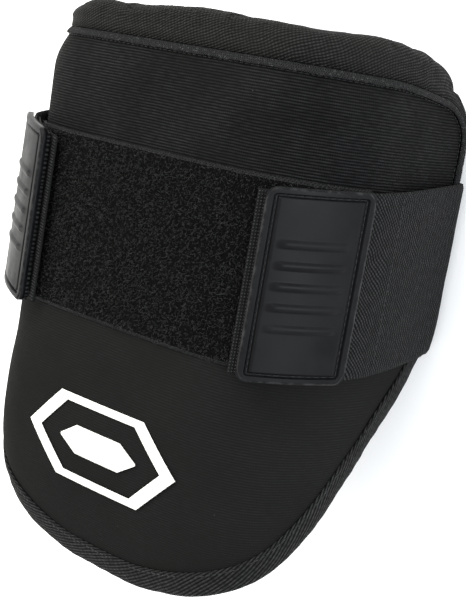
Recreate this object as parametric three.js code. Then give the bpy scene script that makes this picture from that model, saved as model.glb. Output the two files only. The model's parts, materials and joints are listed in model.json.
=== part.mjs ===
// Baseball elbow guard: a padded shell that wraps the elbow, a rolled top edge, a taped
// lower edge, a loop panel across the front and an elastic strap with two moulded tabs.
//
// Units are millimetres. +X is across the guard, +Y runs up the arm to the rolled edge,
// and +Z points out of the front. The guard lies on its strap with its open side down.
//
// Everything is laid out on the unrolled front face and then wrapped. A point has
//   s  the distance across from the middle line, along the curve of the face
//   t  the distance down from the top seam, along the middle line
//   h  the height off the face, outward

import * as THREE from 'three';

// Driving sizes

const faceHalfWidth = 144;        // middle line to side edge, along the curve
const faceLength = 197.6;         // top seam to the lower tip, along the middle line
const cornerRadius = 14;          // rounding of the two upper corners
const seamDroop = 6;              // how far the top seam falls towards the corners
const seamDroopStart = 98;        // s where the seam starts to fall
const bendStart = 124;            // t where the face starts to curl in over the elbow
const bendRadius = 227;           // radius of that curl
const seamTuck = 5.5;             // the padded face turns inward at the top seam by this much
const seamTuckReach = 16;         // over this distance below the seam
const edgeTuck = 3;               // and inward at the taped lower edge
const edgeTuckReach = 21;         // over this distance above the edge
const elbowBulge = 2.4;           // the sides of the lower cup swell outward
const elbowBulgeDown = 160;       // t of the middle of that swelling
const elbowBulgeReach = 44;       // and how far it spreads up and down

const shellThickness = 4.5;       // neoprene covered outer shell
const linerThickness = 6.2;       // foam liner behind it
const linerEdgeThickness = 2.6;   // liner, pressed thin under the edge tape
const linerFeather = 26;          // distance over which the liner thins to its edge
const gap = 0.3;                  // clearance between pieces that touch

const rollProjection = 12;        // rolled edge beyond the top seam
const rollSideProjection = 5;     // rolled edge beyond the side edges
const rollHeight = 15;            // rolled edge, inside to outside, along the top
const rollSideHeight = 10;        // the same down the sides
const rollSink = 2.2;             // middle of the roll, inward of the middle of the shell's edge
const rollSideSink = 0.8;         // the same down the sides
const rollLump = 0.6;             // unevenness of the stuffed roll
const rollLumpLength = 46;        // distance from one lump to the next
const weltWidth = 2.8;            // raised welt that closes the top seam
const weltHeight = 1.3;
const rollEndDown = 66;           // t where the roll stops and the edge tape starts, under the strap

const tapeThickness = 1.2;        // woven edge tape
const tapeLeg = 7.5;              // how far the tape reaches over each face
const tapeGap = 0.6;              // clearance between the tape and the shell
const tapeShoulder = 1.6;         // the tape rounds over this far in from the edge

const panelLeft = 81;             // loop panel, left end
const panelRight = 90;            // loop panel, right end
const panelTop = 37;
const panelHeight = 65;
const panelThickness = 1.4;

const strapWidth = 63.5;          // elastic strap, 2.5 inch
const strapThickness = 1.5;
const strapEdgeLift = 2.4;        // strap above the face near the side edges
const strapTurnRadius = 9;        // inside radius where the strap turns behind the side edge
const strapTurnInset = 3;         // the turn starts this far inside the side edge
const strapEndInset = 1;          // the strap ends this far inside the tab

const tabWidth = 31;              // moulded tab, across
const tabThickness = 2.4;
const tabOverlap = 0.7;           // tab past the strap's upper and lower edges
const tabCornerRadius = 2.6;
const tabRimWidth = 2.2;
const tabGrooveWidth = 0.8;
const tabGrooveDepth = 0.9;
const tabPlateDrop = 0.3;         // plate inside the rim, below the rim
const tabStandOff = 1.5;          // a stiff tab is flatter than the face: its edges stand off
const tabRibCount = 5;
const tabRibPitch = 7;
const tabRibWidth = 2.6;
const tabRibHeight = 0.6;

const hookThickness = 1.0;        // hook pad under each tab
const hookShow = 2.5;             // hook pad past the inner edge of the tab
const hookInset = 0.8;            // hook pad inside the tab's upper and lower edges

const printDown = 147;            // middle of the printed mark
const printHalfWidth = 38;
const printHalfHeight = 16.5;
const printShoulder = 0.56;       // straight part of the mark, as a share of its half width
const printLine = 3;              // line width of the frame
const coreHalfWidth = 20;         // solid bar inside the frame
const coreHalfHeight = 5.5;
const printThickness = 0.4;

// The two sides of the strap. inner is where the tab starts, top is the strap's upper edge
// there, and rise is how much the strap climbs for each millimetre outward.

const strapSides = [
  { name: 'right', direction: 1, inner: 55.6, top: 40.4, rise: 0.096 },
  { name: 'left', direction: -1, inner: 43, top: 39.2, rise: 0.133 },
];

// Cross section of the face: which way it faces at each share of the half width.
// 0 degrees faces straight out of the front and 90 degrees faces sideways.

const sectionTurns = [
  { across: 0.00, degrees: 0 },
  { across: 0.14, degrees: 1.5 },
  { across: 0.28, degrees: 8 },
  { across: 0.42, degrees: 34 },
  { across: 0.56, degrees: 66 },
  { across: 0.70, degrees: 87 },
  { across: 0.87, degrees: 94 },
  { across: 1.00, degrees: 95 },
];

// Lower outline of the face: how far down it reaches at each share of the half width.

const lowerOutline = [
  { across: 0.00, down: 1.000 },
  { across: 0.11, down: 0.998 },
  { across: 0.22, down: 0.985 },
  { across: 0.35, down: 0.957 },
  { across: 0.46, down: 0.922 },
  { across: 0.54, down: 0.882 },
  { across: 0.62, down: 0.821 },
  { across: 0.72, down: 0.733 },
  { across: 0.86, down: 0.621 },
  { across: 0.95, down: 0.552 },
  { across: 1.00, down: 0.499 },
];

// Mesh density

const acrossSteps = 19;           // columns from the middle line to a side edge
const shellRows = 12;
const rowMargin = 10;             // first and last row, from the edge
const sideRows = 9;               // stations down each side edge

// Curve helpers

function smoothTable(rows, inKey, outKey) {
  // monotone cubic through the rows, so no overshoot between them
  const x = rows.map((row) => row[inKey]);
  const y = rows.map((row) => row[outKey]);
  const chord = x.slice(1).map((_, i) => (y[i + 1] - y[i]) / (x[i + 1] - x[i]));
  const slope = x.map((_, i) => {
    if (i === 0) return chord[0];
    if (i === x.length - 1) return chord[i - 1];
    if (chord[i - 1] * chord[i] <= 0) return 0;
    return 2 * chord[i - 1] * chord[i] / (chord[i - 1] + chord[i]);
  });
  return (value) => {
    const v = THREE.MathUtils.clamp(value, x[0], x[x.length - 1]);
    let i = 0;
    while (i < x.length - 2 && v > x[i + 1]) i += 1;
    const width = x[i + 1] - x[i];
    const u = (v - x[i]) / width;
    const start = (1 + 2 * u) * (1 - u) ** 2 * y[i] + u * (1 - u) ** 2 * width * slope[i];
    return start + u ** 2 * (3 - 2 * u) * y[i + 1] - u ** 2 * (1 - u) * width * slope[i + 1];
  };
}

const blend = (from, to, share) => from + (to - from) * THREE.MathUtils.smoothstep(share, 0, 1);

const evenSteps = (from, to, count) =>
  Array.from({ length: count + 1 }, (_, i) => from + (to - from) * i / count);

// The wrapped face

const turnAt = smoothTable(sectionTurns, 'across', 'degrees');
const lowerShareAt = smoothTable(lowerOutline, 'across', 'down');
const lastTurn = THREE.MathUtils.degToRad(sectionTurns[sectionTurns.length - 1].degrees);

function buildSection() {
  // walk out from the middle line in short steps, following the turn table
  const step = faceHalfWidth / 288;
  const walk = [{ x: 0, z: 0, turn: 0 }];
  for (let i = 1; i <= 288; i += 1) {
    const turn = THREE.MathUtils.degToRad(turnAt(i / 288));
    const middle = (turn + walk[i - 1].turn) / 2;
    const { x, z } = walk[i - 1];
    walk.push({ x: x + step * Math.cos(middle), z: z - step * Math.sin(middle), turn });
  }
  return { step, walk };
}

const section = buildSection();

function sectionAt(s) {
  const reach = Math.abs(s) / section.step;
  const last = section.walk.length - 1;
  const side = s < 0 ? -1 : 1;
  if (reach >= last) {
    const past = Math.abs(s) - faceHalfWidth;
    const edge = section.walk[last];
    const x = edge.x + past * Math.cos(lastTurn);
    return { x: side * x, z: edge.z - past * Math.sin(lastTurn), turn: side * lastTurn };
  }
  const i = Math.floor(reach);
  const share = reach - i;
  const a = section.walk[i];
  const b = section.walk[i + 1];
  const mix = (key) => a[key] + (b[key] - a[key]) * share;
  return { x: side * mix('x'), z: mix('z'), turn: side * mix('turn') };
}

function shapeLift(s, t) {
  // tucked in along the top seam and the lower edge, swollen at the sides of the cup
  const tuck = seamTuck * THREE.MathUtils.clamp(1 - t / seamTuckReach, 0, 1) ** 2;
  const near = Math.max(1 - ((t - elbowBulgeDown) / elbowBulgeReach) ** 2, 0) ** 2;
  const aside = THREE.MathUtils.smoothstep(Math.abs(s) / faceHalfWidth, 0.28, 0.5);
  const low = THREE.MathUtils.clamp(1 - (lowerEdge(s) - t) / edgeTuckReach, 0, 1) ** 2;
  return elbowBulge * near * aside - tuck - edgeTuck * low;
}

function place(s, t, height) {
  const across = sectionAt(s);
  const h = height + shapeLift(s, t);
  const curl = Math.max(t - bendStart, 0) / bendRadius;
  const down = Math.min(t, bendStart) + bendRadius * Math.sin(curl);
  const drop = bendRadius * (1 - Math.cos(curl));
  const out = across.z + h * Math.cos(across.turn);
  return new THREE.Vector3(
    across.x + h * Math.sin(across.turn),
    -down - out * Math.sin(curl),
    -drop + out * Math.cos(curl),
  );
}

// Outline of the face

function topEdge(s) {
  const a = Math.abs(s);
  const fall = Math.max(a - seamDroopStart, 0) / (faceHalfWidth - seamDroopStart);
  const into = Math.max(a - (faceHalfWidth - cornerRadius), 0);
  const corner = cornerRadius - Math.sqrt(Math.max(cornerRadius ** 2 - into ** 2, 0));
  return seamDroop * fall ** 1.4 + corner;
}

const lowerEdge = (s) => faceLength * lowerShareAt(Math.abs(s) / faceHalfWidth);

function acrossStations() {
  // even columns, with closer ones where the upper corner turns
  const flat = faceHalfWidth - cornerRadius;
  const count = Math.round(acrossSteps * flat / faceHalfWidth);
  const half = evenSteps(0, flat, count);
  for (const degrees of [30, 55, 75, 90]) {
    half.push(flat + cornerRadius * Math.sin(THREE.MathUtils.degToRad(degrees)));
  }
  return [...half.slice(1).reverse().map((s) => -s), ...half];
}

const columns = acrossStations();

// Columns between two places, with those two places as the ends.
function columnsBetween(from, to) {
  const inside = columns.filter((s) => s > from + 1.5 && s < to - 1.5);
  return [from, ...inside, to];
}

// The edge of the face as a path, and the outward direction at each of its points.
function rimPath() {
  const points = [];
  const sideTs = evenSteps(topEdge(faceHalfWidth), lowerEdge(faceHalfWidth), sideRows);
  for (const t of sideTs.slice(1, -1).reverse()) points.push({ s: -faceHalfWidth, t });
  for (const s of columns) points.push({ s, t: topEdge(s) });
  for (const t of sideTs.slice(1, -1)) points.push({ s: faceHalfWidth, t });
  const upperCount = points.length;
  for (const s of [...columns].reverse()) points.push({ s, t: lowerEdge(s) });
  return points.map((point, i) => {
    const before = points[(i + points.length - 1) % points.length];
    const after = points[(i + 1) % points.length];
    const out = new THREE.Vector2(after.t - before.t, before.s - after.s).normalize();
    return { ...point, outS: out.x, outT: out.y, upper: i < upperCount };
  });
}

const rim = rimPath();

const onRim = (point, n, h) => place(point.s + n * point.outS, point.t + n * point.outT, h);

// A point on a side edge that lies between two stations of the rim.
function sidePoint(direction, t) {
  return { s: direction * faceHalfWidth, t, outS: direction, outT: 0 };
}

// Solids

// Each station is a cut through the piece: a front chain and a back chain of as many points.
function solidFromCuts(cuts, isLoop = false) {
  const chain = cuts[0].front.length;
  const ring = 2 * chain;
  const positions = [];
  for (const cut of cuts) {
    for (const point of [...cut.front, ...[...cut.back].reverse()]) positions.push(...point);
  }
  const index = [];
  const quad = (a, b, c, d) => index.push(a, b, c, a, c, d);
  const otherQuad = (a, b, c, d) => index.push(a, b, d, b, c, d);
  const spans = isLoop ? cuts.length : cuts.length - 1;
  for (let i = 0; i < spans; i += 1) {
    const here = i * ring;
    const next = ((i + 1) % cuts.length) * ring;
    for (let k = 0; k < ring; k += 1) {
      const after = (k + 1) % ring;
      // both faces are split along the same diagonal, so that stacked pieces stay parallel
      const split = k < chain ? quad : otherQuad;
      split(here + k, next + k, next + after, here + after);
    }
  }
  if (!isLoop) {
    const far = (cuts.length - 1) * ring;
    for (let k = 0; k < chain - 1; k += 1) {
      quad(k, k + 1, ring - 2 - k, ring - 1 - k);
      quad(far + ring - 1 - k, far + ring - 2 - k, far + k + 1, far + k);
    }
  }
  if (signedVolume(positions, index) < 0) index.reverse();
  const geometry = new THREE.BufferGeometry();
  geometry.setAttribute('position', new THREE.Float32BufferAttribute(positions, 3));
  geometry.setIndex(index);
  geometry.computeVertexNormals();
  return geometry;
}

function signedVolume(positions, index) {
  const corner = (i) => new THREE.Vector3().fromArray(positions, 3 * i);
  let total = 0;
  for (let i = 0; i < index.length; i += 3) {
    const [a, b, c] = [corner(index[i]), corner(index[i + 1]), corner(index[i + 2])];
    total += a.dot(b.cross(c)) / 6;
  }
  return total;
}

function addPiece(group, name, geometry, color, roughness) {
  const material = new THREE.MeshStandardMaterial({ color, roughness, metalness: 0 });
  const mesh = new THREE.Mesh(geometry, material);
  mesh.name = name;
  group.add(mesh);
}

// Padded shell

function edgeDistance(s, t) {
  const here = new THREE.Vector2(s, t);
  const foot = new THREE.Vector2();
  return Math.min(...rim.map((point, i) => {
    const next = rim[(i + 1) % rim.length];
    const start = new THREE.Vector2(point.s, point.t);
    const along = new THREE.Vector2(next.s, next.t).sub(start);
    const share = foot.copy(here).sub(start).dot(along) / along.lengthSq();
    return here.distanceTo(start.addScaledVector(along, THREE.MathUtils.clamp(share, 0, 1)));
  }));
}

function rowsBetween(top, bottom, count) {
  // even rows, with one close to each edge where the liner is thin
  return [top, ...evenSteps(top + rowMargin, bottom - rowMargin, count - 3), bottom];
}

function linerDepth(s, t) {
  const share = Math.max(edgeDistance(s, t) - tapeLeg - tapeShoulder, 0) / linerFeather;
  return blend(linerEdgeThickness, linerThickness, Math.min(share, 1));
}

function faceShell() {
  return solidFromCuts(columns.map((s) => {
    const ts = rowsBetween(topEdge(s), lowerEdge(s), shellRows);
    return {
      front: ts.map((t) => place(s, t, 0)),
      back: ts.map((t) => place(s, t, -shellThickness)),
    };
  }));
}

function linerPad() {
  const outer = -shellThickness - gap;
  return solidFromCuts(columns.map((s) => {
    const ts = rowsBetween(topEdge(s), lowerEdge(s), shellRows);
    return {
      front: ts.map((t) => place(s, t, outer)),
      back: ts.map((t) => place(s, t, outer - linerDepth(s, t))),
    };
  }));
}

// Edges

const edgeDepth = shellThickness + gap + linerEdgeThickness;

function upperRim() {
  // from under the strap on the left, over the top, to under the strap on the right
  const inside = rim.filter((point) => point.upper && point.t < rollEndDown - 2);
  return [sidePoint(-1, rollEndDown), ...inside, sidePoint(1, rollEndDown)];
}

function lowerRim() {
  const start = rollEndDown + gap;
  const lower = rim.filter((point) => point.t > start + 2 && !point.upper);
  const sides = rim.filter((point) => point.t > start + 2 && point.upper);
  const right = sides.filter((point) => point.s > 0);
  const left = sides.filter((point) => point.s < 0);
  return [sidePoint(1, start), ...right, ...lower, ...left, sidePoint(-1, start)];
}

function topRoll() {
  const angles = [-90, -62, -32, 0, 32, 62, 90].map(THREE.MathUtils.degToRad);
  return solidFromCuts(upperRim().map((point) => {
    const toTop = 1 - THREE.MathUtils.smoothstep(Math.abs(point.s) / faceHalfWidth, 0.8, 1);
    const centre = -edgeDepth / 2 - blend(rollSideSink, rollSink, toTop);
    const lump = rollLump * Math.sin(2 * Math.PI * (point.s + point.t) / rollLumpLength);
    const reach = blend(rollSideProjection, rollProjection, toTop) + lump * toTop;
    const half = blend(rollSideHeight, rollHeight, toTop) / 2;
    const bulge = (angle) => {
      const n = 2 * gap + (reach - 2 * gap) * Math.cos(angle) ** 0.8;
      return onRim(point, n, centre - half * Math.sin(angle));
    };
    const flat = (angle) => onRim(point, gap, centre - 0.84 * half * Math.sin(angle));
    return { front: angles.map(bulge), back: angles.map(flat) };
  }));
}

function topWelt() {
  const inner = -weltWidth;
  const low = gap + 0.3 * weltHeight;
  const high = gap + weltHeight;
  const profile = [[inner, low], [inner + 0.25 * weltWidth, high], [-0.3 * weltWidth, high], [0, low]];
  return solidFromCuts(upperRim().map((point) => ({
    front: profile.map(([n, h]) => onRim(point, n, h)),
    back: profile.map(([n]) => onRim(point, n, gap)),
  })));
}

function edgeTape() {
  // a channel over the edge: a leg on the front, round the edge, and a leg on the inside
  const front = tapeGap;
  const back = -edgeDepth - tapeGap;
  const half = (front - back) / 2;
  const middle = (front + back) / 2;
  const inside = (point) => [
    onRim(point, -tapeLeg, front),
    onRim(point, -tapeShoulder, front),
    ...[1, 0.35, -0.35, -1].map((share) => onRim(point, tapeGap, middle + half * share)),
    onRim(point, -tapeShoulder, back),
    onRim(point, -tapeLeg, back),
  ];
  const outside = (point) => [
    onRim(point, -tapeLeg, front + tapeThickness),
    onRim(point, -tapeShoulder, front + tapeThickness),
    ...[60, 25, -25, -60].map(THREE.MathUtils.degToRad).map((angle) => {
      const n = tapeGap + tapeThickness - tapeShoulder * (1 - Math.cos(angle));
      return onRim(point, n, middle + (half + tapeThickness) * Math.sin(angle));
    }),
    onRim(point, -tapeShoulder, back - tapeThickness),
    onRim(point, -tapeLeg, back - tapeThickness),
  ];
  return solidFromCuts(lowerRim().map((point) => ({
    front: outside(point),
    back: inside(point),
  })));
}

// Loop panel, hook pads, tabs and strap, stacked on the face

const hookBase = 2 * gap + panelThickness;
const strapBase = hookBase + hookThickness + gap;
const tabBase = strapBase + strapThickness + gap;

// Lines that a tab and the pieces under it share, so that their facets lie parallel.
const tabFrameLine = tabRimWidth + tabGrooveWidth;
const tabInnerLines = evenSteps(tabFrameLine, tabWidth - tabFrameLine, 4);

function loopPanel() {
  const top = panelTop;
  const bottom = panelTop + panelHeight;
  return solidFromCuts(columnsBetween(-panelLeft, panelRight).map((s) => ({
    front: [top, bottom].map((t) => place(s, t, gap + panelThickness)),
    back: [top, bottom].map((t) => place(s, t, gap)),
  })));
}

// Upper edge of the strap on one side, at a distance out from the middle line.
const strapTopAt = (side, out) => side.top - side.rise * (out - side.inner);

// How far a tab and the pieces under it stand off the face at a distance from its middle.
function standOff(side, out) {
  const middle = side.inner + tabWidth / 2;
  return tabStandOff * ((out - middle) / (tabWidth / 2)) ** 2;
}

function hookPad(side) {
  const from = side.inner - hookShow;
  const outs = [from, side.inner, ...tabInnerLines.map((a) => side.inner + a)];
  return solidFromCuts(outs.map((out) => {
    const top = strapTopAt(side, out) + hookInset;
    const bottom = strapTopAt(side, out) + strapWidth - hookInset;
    const base = hookBase + standOff(side, out);
    const at = (t, h) => place(side.direction * out, t, base + h);
    return {
      front: [top, bottom].map((t) => at(t, hookThickness)),
      back: [top, bottom].map((t) => at(t, 0)),
    };
  }));
}

function tabRelief(a, b, length) {
  // height of the tab's outer face: rim, groove, plate and grip ribs
  const edge = Math.min(a, tabWidth - a, b, length - b);
  if (edge < 0.3) return tabThickness - 0.7;
  if (edge < tabRimWidth + 0.1) return tabThickness;
  if (edge < tabFrameLine - 0.1) return tabThickness - tabGrooveDepth;
  const plate = tabThickness - tabPlateDrop;
  for (let i = 0; i < tabRibCount; i += 1) {
    const crest = length / 2 + (i - (tabRibCount - 1) / 2) * tabRibPitch;
    if (Math.abs(b - crest) < 0.1) return plate + tabRibHeight;
  }
  return plate;
}

function tab(side) {
  const length = strapWidth + 2 * tabOverlap;
  const outerLines = [0, 0.7, tabRimWidth, tabRimWidth + tabGrooveWidth / 2];
  const aLines = [...outerLines, ...tabInnerLines, ...outerLines.map((d) => tabWidth - d).reverse()];
  const edgeLines = [...outerLines, tabFrameLine];
  const ribs = Array.from({ length: tabRibCount }, (_, i) => {
    const crest = length / 2 + (i - (tabRibCount - 1) / 2) * tabRibPitch;
    return [crest - tabRibWidth / 2, crest, crest + tabRibWidth / 2];
  }).flat();
  const bLines = [...edgeLines, ...ribs, ...edgeLines.map((d) => length - d).reverse()];
  return solidFromCuts(aLines.map((a) => {
    const out = side.inner + a;
    const near = Math.max(tabCornerRadius - Math.min(a, tabWidth - a), 0);
    const trim = tabCornerRadius - Math.sqrt(tabCornerRadius ** 2 - near ** 2);
    const fit = (b) => trim + b * (length - 2 * trim) / length;
    const top = strapTopAt(side, out) - tabOverlap;
    const base = tabBase + standOff(side, out);
    const at = (b, h) => place(side.direction * out, top + fit(b), base + h);
    return {
      front: bLines.map((b) => at(b, tabRelief(a, b, length))),
      back: bLines.map((b) => at(b, 0)),
    };
  }));
}

// Lines along the strap, from its upper edge to its lower one. The lower part is closer,
// because it curls in with the edge of the face.
const strapRows = [0, 0.6, 0.82, 1].map((share) => share * strapWidth);

function strapCuts(side) {
  // from under the tab, out along the face, to the start of the turn behind the side edge
  const tabEnd = side.inner + tabWidth;
  const to = faceHalfWidth - strapTurnInset;
  const underTabLines = [strapEndInset, ...tabInnerLines].map((a) => side.inner + a);
  return [...underTabLines, ...columnsBetween(tabEnd, to)].map((out) => {
    const underTab = strapBase + standOff(side, Math.min(out, tabEnd));
    const lift = blend(underTab, strapEdgeLift, Math.max(out - tabEnd, 0) / (to - tabEnd));
    return strapRows.map((row) => {
      const t = strapTopAt(side, out) + row;
      return {
        inside: place(side.direction * out, t, lift),
        outside: place(side.direction * out, t, lift + strapThickness),
      };
    });
  });
}

function strapTurnCuts(side) {
  // round the side edge, then flat towards the middle of the back
  const start = faceHalfWidth - strapTurnInset;
  const edge = sectionAt(start);
  const at = (radius, turn, t) => {
    const centre = strapEdgeLift + shapeLift(start, t) - strapTurnRadius;
    return new THREE.Vector3(
      side.direction * (edge.x + centre * Math.sin(edge.turn) + radius * Math.sin(turn)),
      -t,
      edge.z + centre * Math.cos(edge.turn) + radius * Math.cos(turn),
    );
  };
  return evenSteps(edge.turn, Math.PI, 6).slice(1).map((turn) => strapRows.map((row) => {
    const t = strapTopAt(side, start) + row;
    return {
      inside: at(strapTurnRadius, turn, t),
      outside: at(strapTurnRadius + strapThickness, turn, t),
    };
  }));
}

function strap() {
  const [right, left] = strapSides;
  const rightCuts = [...strapCuts(right), ...strapTurnCuts(right)];
  const leftCuts = [...strapCuts(left), ...strapTurnCuts(left)];
  return solidFromCuts([...rightCuts, ...leftCuts.reverse()].map((edges) => ({
    front: edges.map((edge) => edge.outside),
    back: edges.map((edge) => edge.inside),
  })));
}

// Printed mark: a plain long hexagon frame with a solid bar of the same shape inside

const markCorners = [[1, 0], [printShoulder, 1], [-printShoulder, 1], [-1, 0], [-printShoulder, -1],
  [printShoulder, -1]];

function framePoint(share, scale) {
  // share 0 to 1 goes once round; each side of the frame is straight
  const turn = share * markCorners.length;
  const side = Math.floor(turn) % markCorners.length;
  const along = turn - Math.floor(turn);
  const a = markCorners[side];
  const b = markCorners[(side + 1) % markCorners.length];
  const mix = (k) => (a[k] + (b[k] - a[k]) * along) * scale;
  return { s: mix(0) * printHalfWidth, t: printDown + mix(1) * printHalfHeight };
}

function printFrame() {
  const inner = 1 - printLine / printHalfHeight;
  return solidFromCuts(evenSteps(0, 1, 24).slice(0, -1).map((share) => {
    const pair = [framePoint(share, inner), framePoint(share, 1)];
    return {
      front: pair.map((point) => place(point.s, point.t, gap + printThickness)),
      back: pair.map((point) => place(point.s, point.t, gap)),
    };
  }), true);
}

function printBar() {
  // columns across the bar, blunt at both ends
  const ends = [0.97, 0.78, printShoulder];
  const shares = [...ends.map((share) => -share), -0.2, 0.2, ...[...ends].reverse()];
  return solidFromCuts(shares.map((across) => {
    const s = across * coreHalfWidth;
    const slope = (1 - Math.abs(across)) / (1 - printShoulder);
    const half = Math.min(slope, 1) * coreHalfHeight;
    const ts = [printDown - half, printDown + half];
    return {
      front: ts.map((t) => place(s, t, gap + printThickness)),
      back: ts.map((t) => place(s, t, gap)),
    };
  }));
}

// Assembly

const neoprene = 0x1b1b1c;
const foam = 0x19191a;
const tapeColor = 0x222223;
const loopColor = 0x121213;
const rubber = 0x2b2b2d;
const elastic = 0x1e1e20;
const ink = 0xf2f2ef;

const guard = new THREE.Group();
addPiece(guard, 'face_shell', faceShell(), neoprene, 0.85);
addPiece(guard, 'liner_pad', linerPad(), foam, 0.9);
addPiece(guard, 'top_roll', topRoll(), neoprene, 0.85);
addPiece(guard, 'top_welt', topWelt(), tapeColor, 0.75);
addPiece(guard, 'edge_tape', edgeTape(), tapeColor, 0.8);
addPiece(guard, 'loop_panel', loopPanel(), loopColor, 0.95);
addPiece(guard, 'strap', strap(), elastic, 0.85);
for (const side of strapSides) {
  addPiece(guard, `hook_pad_${side.name}`, hookPad(side), loopColor, 0.9);
  addPiece(guard, `tab_${side.name}`, tab(side), rubber, 0.55);
}
addPiece(guard, 'print_frame', printFrame(), ink, 0.5);
addPiece(guard, 'print_bar', printBar(), ink, 0.5);

// The origin is the middle of the footprint, on the surface that the strap rests on.
const box = new THREE.Box3().setFromObject(guard);
const centre = box.getCenter(new THREE.Vector3());
guard.position.set(-centre.x, -centre.y, -box.min.z);

export default guard;
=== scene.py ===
# %% [markdown]
# # Baseball elbow guard
#
# A padded neoprene shell curls round the elbow. A stuffed roll closes its upper edge and a
# folded tape binds its lower edge. An elastic strap with two moulded rubber tabs closes the
# guard on a panel of loop fabric. Each piece is sewn or moulded from another material, so
# each one is an object of its own here too.
#
# The CAD model has every piece at its real size. This lesson keeps those sizes and gives
# each piece the soft form and the finish of the real one.

# %% Load the CAD model
import json
import math

import bmesh
import bpy
import numpy as np
from mathutils import Matrix, Vector

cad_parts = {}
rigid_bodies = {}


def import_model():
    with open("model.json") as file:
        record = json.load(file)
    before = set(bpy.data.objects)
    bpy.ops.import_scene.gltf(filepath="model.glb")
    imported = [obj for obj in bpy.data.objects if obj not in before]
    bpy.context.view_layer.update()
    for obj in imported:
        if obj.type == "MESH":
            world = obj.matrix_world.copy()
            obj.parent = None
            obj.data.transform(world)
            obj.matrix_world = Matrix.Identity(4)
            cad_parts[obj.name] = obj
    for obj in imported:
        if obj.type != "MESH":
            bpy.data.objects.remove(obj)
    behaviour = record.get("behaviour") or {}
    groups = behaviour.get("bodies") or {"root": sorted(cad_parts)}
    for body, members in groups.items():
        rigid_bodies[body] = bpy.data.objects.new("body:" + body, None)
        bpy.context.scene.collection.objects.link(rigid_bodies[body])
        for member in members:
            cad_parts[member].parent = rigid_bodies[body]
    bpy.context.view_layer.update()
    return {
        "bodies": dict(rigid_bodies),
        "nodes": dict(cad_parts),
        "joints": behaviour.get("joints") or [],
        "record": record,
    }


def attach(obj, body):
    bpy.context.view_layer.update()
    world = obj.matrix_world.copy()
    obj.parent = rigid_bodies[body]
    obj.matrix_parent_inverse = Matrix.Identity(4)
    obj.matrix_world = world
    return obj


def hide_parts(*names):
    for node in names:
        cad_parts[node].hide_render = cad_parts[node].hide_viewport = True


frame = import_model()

scene = bpy.context.scene

# %% [markdown]
# ## The camera
#
# The photograph looks down on the guard from its right side with a long lens. The direction
# comes from three turns: round the guard, up towards the rolled edge, and a roll of the
# camera. A lens is given in millimetres for a sensor 36 mm long, so the focal length in
# pixels is scaled by the sensor over the longer side of the picture.

# %% Camera
picture_height = 600
focal_pixels = 1336.8
sensor_length = 36.0
look_at = Vector((0.05095, 0.01282, 0.09328))
look_distance = 0.4386
look_round = math.radians(39.05)
look_up = math.radians(9.78)
look_roll = math.radians(9.77)

back = Vector((
    math.sin(look_round) * math.cos(look_up),
    math.sin(look_up),
    math.cos(look_round) * math.cos(look_up),
))
level_right = Vector((math.cos(look_round), 0, -math.sin(look_round)))
level_up = back.cross(level_right)
right = level_right * math.cos(look_roll) + level_up * math.sin(look_roll)
up = level_up * math.cos(look_roll) - level_right * math.sin(look_roll)

camera_data = bpy.data.cameras.new("camera")
camera_data.sensor_width = sensor_length
camera_data.lens = sensor_length * focal_pixels / picture_height
camera_data.clip_start = 0.01
camera = bpy.data.objects.new("camera", camera_data)
axes = Matrix((right, up, back)).transposed().to_4x4()
camera.matrix_world = Matrix.Translation(look_at + back * look_distance) @ axes
scene.collection.objects.link(camera)
scene.camera = camera
print("Lens:", round(camera_data.lens, 2), "mm")

# %% [markdown]
# ## One layout for every piece
#
# The guard is cut flat and then wrapped, so every piece is laid out on the flat face first.
# A place has s, the distance across from the middle line, t, the distance down from the top
# seam, and h, the height off the face. All three are in millimetres, and place() wraps them
# into the frame, in metres. Pieces that lie on each other then fit without any measuring.

# %% Sizes of the face
millimetre = 0.001
half_width = 144.0
face_length = 197.6
corner_radius = 14.0
seam_droop = 6.0
droop_start = 98.0
droop_power = 1.4
bend_start = 124.0
bend_radius = 227.0
shell_thickness = 4.5
liner_thickness = 6.2
liner_edge = 2.6
gap = 0.3
edge_depth = shell_thickness + gap + liner_edge
seam_middle = np.array((-0.337, 92.056, 93.283))

seam_tuck = 5.5
seam_tuck_reach = 16.0
edge_tuck = 3.0
edge_tuck_reach = 21.0
swell_height = 2.4
swell_down = 160.0
swell_reach = 44.0
swell_from, swell_full = 0.28, 0.5

turn_table = (
    (0, 0), (0.14, 1.5), (0.28, 8), (0.42, 34), (0.56, 66), (0.7, 87), (0.87, 94), (1, 95),
)
lower_table = (
    (0, 1), (0.11, 0.998), (0.22, 0.985), (0.35, 0.957), (0.46, 0.922), (0.54, 0.882),
    (0.62, 0.821), (0.72, 0.733), (0.86, 0.621), (0.95, 0.552), (1, 0.499),
)


# %% Curves and steps
def smooth_table(rows):
    """A curve through the rows that never overshoots them."""
    x, y = np.array(rows, float).T
    chord = np.diff(y) / np.diff(x)
    slope = np.concatenate(([chord[0]], np.zeros(len(x) - 2), [chord[-1]]))
    same_way = chord[:-1] * chord[1:] > 0
    total = np.where(same_way, chord[:-1] + chord[1:], 1)
    slope[1:-1] = np.where(same_way, 2 * chord[:-1] * chord[1:] / total, 0)

    def read(value):
        v = np.clip(value, x[0], x[-1])
        i = np.clip(np.searchsorted(x, v, side="right") - 1, 0, len(x) - 2)
        width = x[i + 1] - x[i]
        u = (v - x[i]) / width
        start = (1 + 2 * u) * (1 - u) ** 2 * y[i] + u * (1 - u) ** 2 * width * slope[i]
        return start + u ** 2 * (3 - 2 * u) * y[i + 1] - u ** 2 * (1 - u) * width * slope[i + 1]

    return read


def ease(value, start=0.0, end=1.0):
    """0 before start, 1 after end, and a smooth step between."""
    u = np.clip((value - start) / (end - start), 0, 1)
    return u * u * (3 - 2 * u)


def blend(first, second, share):
    return first + (second - first) * ease(share)


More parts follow.
